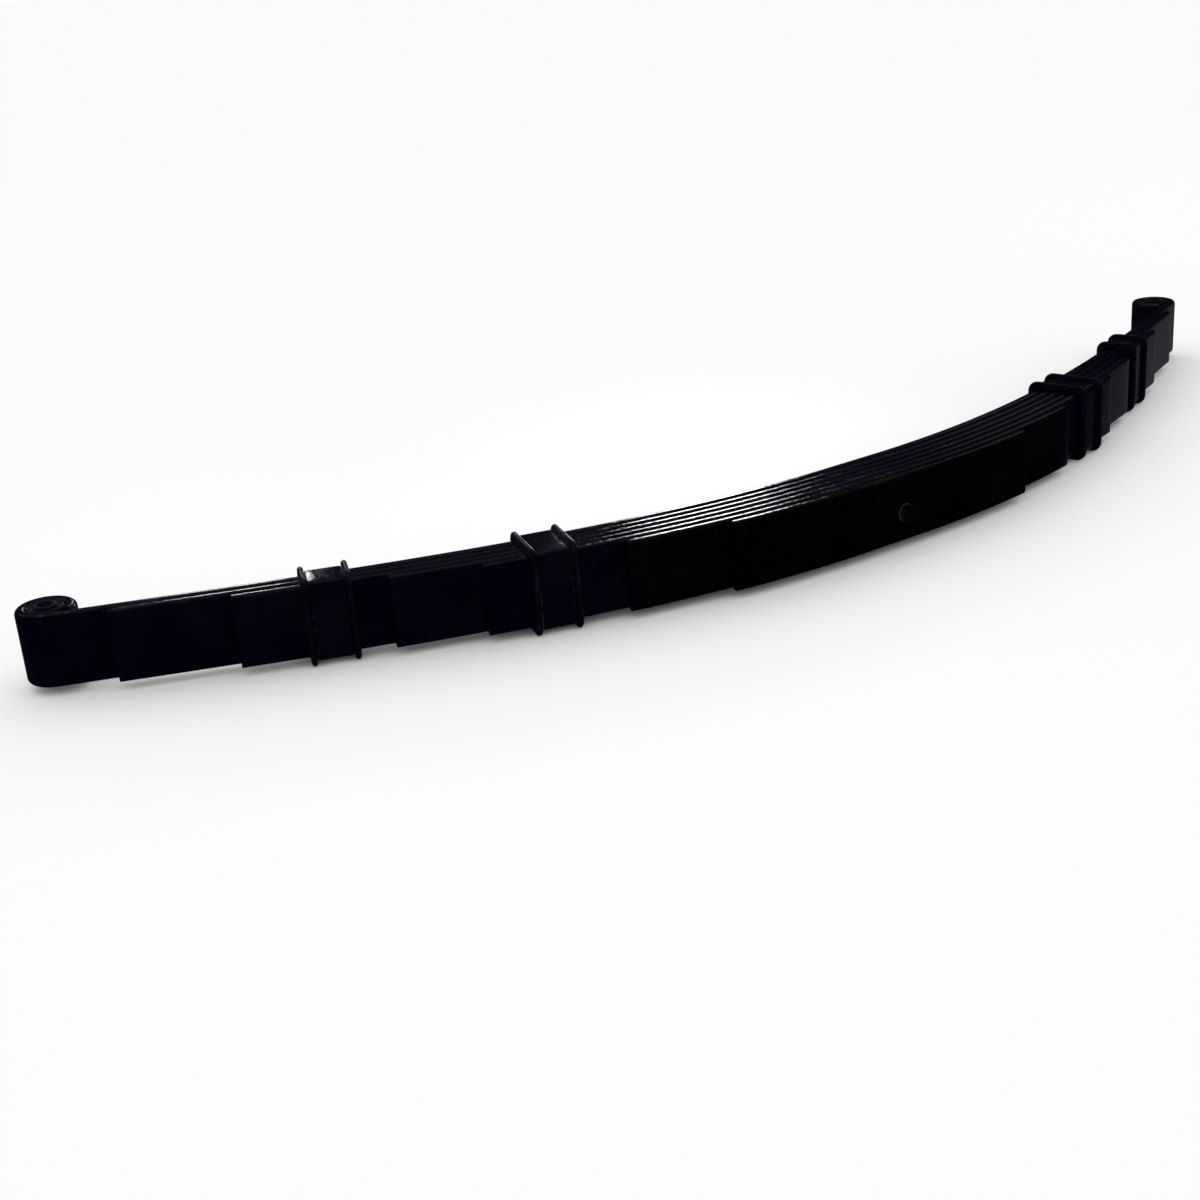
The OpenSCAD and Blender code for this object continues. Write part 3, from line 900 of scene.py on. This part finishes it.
placed = add_node(thread_tree, "GeometryNodeTransform", {"Geometry": wound.outputs["Mesh"],
                  "Translation": given["Place"], "Rotation": given["Turn"]})
whole = add_node(thread_tree, "GeometryNodeRealizeInstances", {"Geometry": placed.outputs["Geometry"]})
finished = add_node(thread_tree, "GeometryNodeSetMaterial", {"Geometry": whole.outputs["Geometry"],
                    "Material": given["Finish"]})
add_node(thread_tree, "NodeGroupOutput", {"Geometry": finished.outputs["Geometry"]})
thread_long = tail_long + 0.001
wound_long = thread_long - 0.0012
bolt_thread = grown("centre_bolt_thread", thread_tree, {
    "Radius": bolt_radius - 0.0008,
    "Length": wound_long,
    "Turns": wound_long / thread_pitch,
    "Ridge": 0.0007,
    "Place": (0.0, shank_top - thread_long, 0.0),
    "Turn": (-math.pi / 2, 0.0, 0.0),
    "Finish": bolt_paint,
})
eased(bolt_thread, 0.0)
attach(bolt_thread, "spring_pack")

# ---- Centre nut ----
# A plain hexagon nut, chamfered on both faces, run down tight on the main leaf's hollow side
# and painted with it.

nut_bore = bolt_radius - 0.0004
nut_around = 144
chamfer_start = 0.985
chamfer_rise = 2.2


def nut_edges(tree, parts):
    """The nut's outer face, by distance out along the bolt."""
    mask = add_node(tree, "ShaderNodeMapRange", {"Value": parts.outputs["Y"],
                    "From Min": stack_high + nut_high - 0.0016, "From Max": stack_high + nut_high - 0.0002})
    return mask.outputs["Result"]


nut_paint = painted_steel("gloss black nut paint", (0.1, 0.9, 0.5), (0.0003, 0.0004, 0.0016, 1.0),
                          (0.0012, 0.0014, 0.0034, 1.0), 0.22, 0.42, nut_edges, 1.0)


def nut_radius(angle, height):
    """Hexagon cut back by a cone at each face."""
    sector = math.radians(60)
    off_flat = (angle + sector / 2) % sector - sector / 2
    hexagon = nut_flats / 2 / math.cos(off_flat)
    from_face = min(height, nut_high - height)
    cone = nut_flats / 2 * chamfer_start + from_face * chamfer_rise
    return min(hexagon, cone)


def nut_ring(work, level, radius=None):
    """A ring of corners at a height: round where it has a radius, and else the hexagon."""
    ring = []
    for i in range(nut_around):
        angle = 2 * math.pi * i / nut_around
        out = nut_radius(angle, level) if radius is None else radius
        ring.append(work.verts.new((out * math.sin(angle), stack_high + level, out * math.cos(angle))))
    return ring


work = bmesh.new()
nut_levels = [0.0, 0.0003, 0.0006, 0.0009, 0.0014, nut_high / 2]
nut_levels += [nut_high - level for level in reversed(nut_levels[:-1])]
bore_ease = 0.0008
nut_rings = [nut_ring(work, level) for level in nut_levels]
nut_rings += [nut_ring(work, nut_high, nut_bore + bore_ease), nut_ring(work, nut_high - bore_ease, nut_bore),
              nut_ring(work, bore_ease, nut_bore), nut_ring(work, 0.0, nut_bore + bore_ease)]
for k, ring in enumerate(nut_rings):
    beyond = nut_rings[(k + 1) % len(nut_rings)]
    for i in range(nut_around):
        j = (i + 1) % nut_around
        work.faces.new((ring[i], ring[j], beyond[j], beyond[i]))
bmesh.ops.recalc_face_normals(work, faces=work.faces)
nut_mesh = bpy.data.meshes.new("centre_nut_hex")
work.to_mesh(nut_mesh)
work.free()
nut_mesh.materials.append(nut_paint)
nut_mesh.shade_smooth()
nut_mesh.set_sharp_from_angle(angle=math.radians(25.0))
centre_nut = bpy.data.objects.new("centre_nut_hex", nut_mesh)
scene.collection.objects.link(centre_nut)
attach(centre_nut, "spring_pack")
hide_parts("centre_nut")
